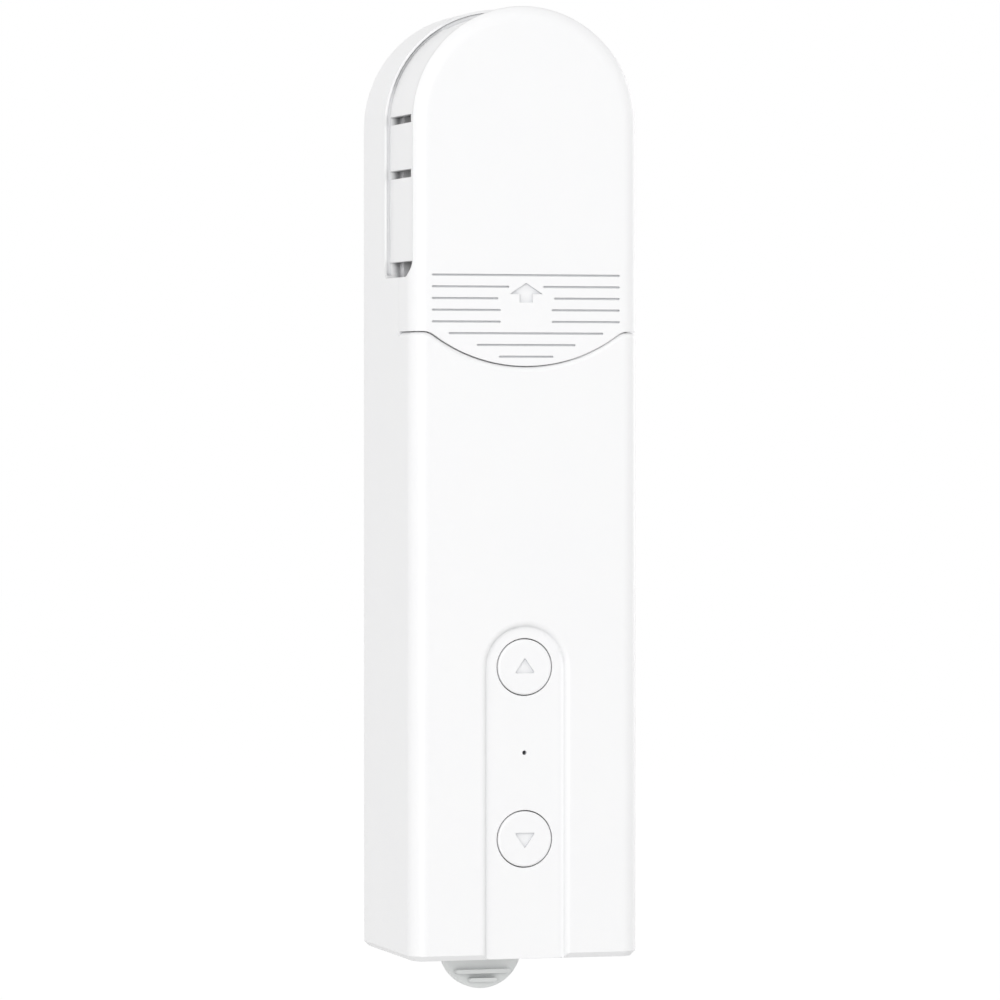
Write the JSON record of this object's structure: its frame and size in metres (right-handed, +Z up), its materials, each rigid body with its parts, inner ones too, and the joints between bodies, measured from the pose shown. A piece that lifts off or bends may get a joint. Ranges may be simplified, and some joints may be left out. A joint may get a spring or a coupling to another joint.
{
  "type": "roller shade motor",
  "caption": "Wall-mounted driver for a roller shade: sliding cover, chain wheel, geared motor, cells, button channel and release latch.",
  "frame": {"origin": "on the wall, at the middle of the wall base's back face", "axes": "+X right, +Y into the wall, +Z up"},
  "size_m": [0.0434, 0.0342, 0.1825],
  "materials": {
    "white_abs": "fine satin",
    "inner_plastic": "satin",
    "grey_abs": "satin",
    "acetal": "smooth",
    "steel": "plain",
    "bronze": "sintered",
    "black_plastic": "satin",
    "cell_sleeve": "shrunk sleeve",
    "board": "solder mask",
    "clear_plastic": "clear"
  },
  "bodies": {
    "base": {"wall_base": "grey_abs", "latch_pin": "steel", "latch_spring": "steel"},
    "latch": {"release_latch": "grey_abs"},
    "driver": {"main_housing": "white_abs", "rear_cover": "inner_plastic", "bearing_plate": "inner_plastic", "motor_bracket": "steel", "motor_can": "steel", "motor_cap": "black_plastic", "gearhead": "steel", "left_cell": "cell_sleeve", "right_cell": "cell_sleeve", "cell_cradle": "inner_plastic", "main_board": "board", "up_switch": "black_plastic", "down_switch": "black_plastic", "status_lamp": "clear_plastic", "light_guide": "clear_plastic", "socket_shell": "steel", "socket_tongue": "black_plastic", "front_bush": "bronze", "rear_bush": "bronze", "idler_axle": "steel", "case_screws": "steel", "plate_screws": "steel", "board_screws": "steel", "motor_screws": "steel"},
    "cover": {"chain_cover": "white_abs"},
    "up_key": {"up_button": "white_abs"},
    "down_key": {"down_button": "white_abs"},
    "wheel": {"chain_sprocket": "black_plastic", "drive_shaft": "steel", "output_gear": "acetal", "sprocket_screw": "steel"},
    "idler": {"idler_gear": "acetal"},
    "pinion": {"bevel_pinion": "bronze", "gearhead_shaft": "steel"}
  },
  "joints": [
    {"name": "driver_slide", "type": "slide", "parent": "base", "child": "driver", "axis": [0, 0, 1], "range_m": [0, 0.018]},
    {"name": "latch_press", "type": "hinge", "parent": "base", "child": "latch", "pos_m": [0, -0.003, -0.007], "axis": [1, 0, 0], "range_deg": [0, 2.2], "stiffness_Nm_per_rad": 0.5, "deforming": ["latch_spring"]},
    {"name": "cover_slide", "type": "slide", "parent": "driver", "child": "cover", "axis": [0, 0, 1], "range_m": [0, 0.068]},
    {"name": "up_button_press", "type": "slide", "parent": "driver", "child": "up_key", "axis": [0, 1, 0], "range_m": [0, 0.0004], "stiffness_N_per_m": 2500},
    {"name": "down_button_press", "type": "slide", "parent": "driver", "child": "down_key", "axis": [0, 1, 0], "range_m": [0, 0.0004], "stiffness_N_per_m": 2500},
    {"name": "wheel_spin", "type": "hinge", "parent": "driver", "child": "wheel", "pos_m": [0, -0.0247, 0.103], "axis": [0, 1, 0], "continuous": true},
    {"name": "idler_spin", "type": "hinge", "parent": "driver", "child": "idler", "pos_m": [0, -0.0142, 0.079], "axis": [0, 1, 0], "continuous": true},
    {"name": "pinion_spin", "type": "hinge", "parent": "driver", "child": "pinion", "pos_m": [0, -0.0185, 0.07], "axis": [0, 0, 1], "continuous": true}
  ],
  "couplings": [
    {"joint": "idler_spin", "follows": "wheel_spin", "ratio": -2},
    {"joint": "pinion_spin", "follows": "wheel_spin", "ratio": -4}
  ]
}
